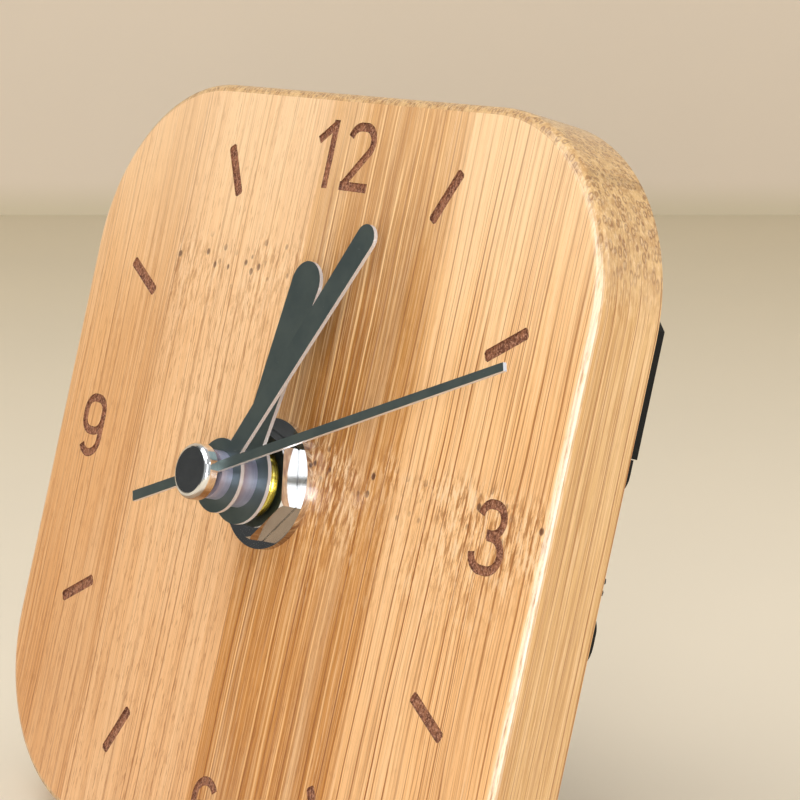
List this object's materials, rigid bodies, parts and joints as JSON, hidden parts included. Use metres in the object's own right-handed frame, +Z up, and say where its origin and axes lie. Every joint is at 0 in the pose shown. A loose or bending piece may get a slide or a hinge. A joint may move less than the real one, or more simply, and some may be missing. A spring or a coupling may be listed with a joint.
{
  "type": "desk clock",
  "caption": "Small rounded-square bamboo desk clock with engraved marks, three metal hands and a battery movement, leaning back on a wooden peg.",
  "frame": {"origin": "on the table, at the middle of the clock's footprint box", "axes": "+Z up, the face looks towards -Y and leans back, +X to the right as the face is read"},
  "size_m": [0.089, 0.044, 0.0852],
  "materials": {
    "bamboo": "satin laminated bamboo with burnt engraving",
    "peg_wood": "sanded wood",
    "rubber": "matt",
    "chrome": "polished",
    "brass": "turned",
    "black_plastic": "fine moulded texture",
    "steel": "plain",
    "pale_plastic": "moulded",
    "battery_sleeve": "glossy printed sleeve, no lettering",
    "nickel": "nickel-plated spring strip",
    "copper_wire": "enamelled copper wire",
    "board": "resin-bonded paper",
    "black_resin": "domed resin",
    "magnet": "sintered magnet in a dark moulding",
    "wheel_plastic": "moulded acetal",
    "knob_plastic": "moulded",
    "hand_metal": "satin grey-green with bright cut edges",
    "collet_metal": "bright turned"
  },
  "bodies": {
    "clock_body": {"dial_panel": "bamboo", "rear_peg": "peg_wood", "gasket": "rubber", "washer": "chrome", "hex_nut": "chrome", "threaded_bushing": "brass", "case_shell": "black_plastic", "rear_cover": "black_plastic", "cover_screws": "steel", "train_plate": "pale_plastic", "positive_contact": "nickel", "negative_contact": "nickel", "coil_bobbin": "pale_plastic", "coil_winding": "copper_wire", "stator": "steel", "circuit_board": "board", "quartz_crystal": "nickel", "chip_cover": "black_resin", "wheel_pins": "steel"},
    "battery": {"battery": "battery_sleeve"},
    "rotor": {"rotor": "magnet"},
    "fifth_wheel": {"fifth_wheel": "wheel_plastic"},
    "second_hand": {"second_wheel": "wheel_plastic", "second_hand": "hand_metal", "second_cap": "chrome"},
    "third_wheel": {"third_wheel": "wheel_plastic"},
    "centre_wheel": {"centre_wheel": "wheel_plastic"},
    "minute_hand": {"minute_arbor": "wheel_plastic", "minute_hand": "hand_metal", "minute_collet": "collet_metal"},
    "motion_wheel": {"motion_wheel": "wheel_plastic"},
    "hour_hand": {"hour_wheel": "wheel_plastic", "hour_hand": "hand_metal", "hour_collet": "collet_metal"},
    "setting_idler": {"setting_idler": "wheel_plastic"},
    "setting_knob": {"setting_knob": "knob_plastic"}
  },
  "joints": [
    {"name": "battery_slide", "type": "slide", "parent": "clock_body", "child": "battery", "axis": [0, 0.9632, -0.2689], "range_m": [0, 0.018]},
    {"name": "second_hand_spin", "type": "hinge", "parent": "clock_body", "child": "second_hand", "pos_m": [0, -0.01925, 0.04603], "axis": [0, 0.9632, -0.2689], "continuous": true},
    {"name": "rotor_spin", "type": "hinge", "parent": "clock_body", "child": "rotor", "pos_m": [-0.00758, 0.00613, 0.02906], "axis": [0, 0.9632, -0.2689], "continuous": true},
    {"name": "fifth_wheel_spin", "type": "hinge", "parent": "clock_body", "child": "fifth_wheel", "pos_m": [-0.001, 0.00677, 0.03136], "axis": [0, 0.9632, -0.2689], "continuous": true},
    {"name": "third_wheel_spin", "type": "hinge", "parent": "clock_body", "child": "third_wheel", "pos_m": [-0.00891, 0.0071, 0.03998], "axis": [0, 0.9632, -0.2689], "continuous": true},
    {"name": "centre_wheel_spin", "type": "hinge", "parent": "clock_body", "child": "centre_wheel", "pos_m": [0, 0.00387, 0.03958], "axis": [0, 0.9632, -0.2689], "continuous": true},
    {"name": "minute_hand_spin", "type": "hinge", "parent": "clock_body", "child": "minute_hand", "pos_m": [0, -0.01732, 0.04549], "axis": [0, 0.9632, -0.2689], "continuous": true},
    {"name": "motion_wheel_spin", "type": "hinge", "parent": "clock_body", "child": "motion_wheel", "pos_m": [0.00833, 0.00165, 0.03907], "axis": [0, 0.9632, -0.2689], "continuous": true},
    {"name": "hour_hand_spin", "type": "hinge", "parent": "clock_body", "child": "hour_hand", "pos_m": [0, -0.01443, 0.04469], "axis": [0, 0.9632, -0.2689], "continuous": true},
    {"name": "setting_idler_spin", "type": "hinge", "parent": "clock_body", "child": "setting_idler", "pos_m": [0.01666, 0.00136, 0.03803], "axis": [0, 0.9632, -0.2689], "continuous": true},
    {"name": "setting_knob_spin", "type": "hinge", "parent": "clock_body", "child": "setting_knob", "pos_m": [0.02221, 0.00791, 0.03545], "axis": [0, 0.9632, -0.2689], "continuous": true}
  ],
  "couplings": [
    {"joint": "rotor_spin", "follows": "second_hand_spin", "ratio": 30},
    {"joint": "fifth_wheel_spin", "follows": "second_hand_spin", "ratio": -5},
    {"joint": "third_wheel_spin", "follows": "second_hand_spin", "ratio": -0.125},
    {"joint": "centre_wheel_spin", "follows": "second_hand_spin", "ratio": 0.016667},
    {"joint": "motion_wheel_spin", "follows": "minute_hand_spin", "ratio": -0.33333},
    {"joint": "hour_hand_spin", "follows": "minute_hand_spin", "ratio": 0.083333},
    {"joint": "setting_idler_spin", "follows": "minute_hand_spin", "ratio": 1},
    {"joint": "setting_knob_spin", "follows": "minute_hand_spin", "ratio": -0.6}
  ]
}
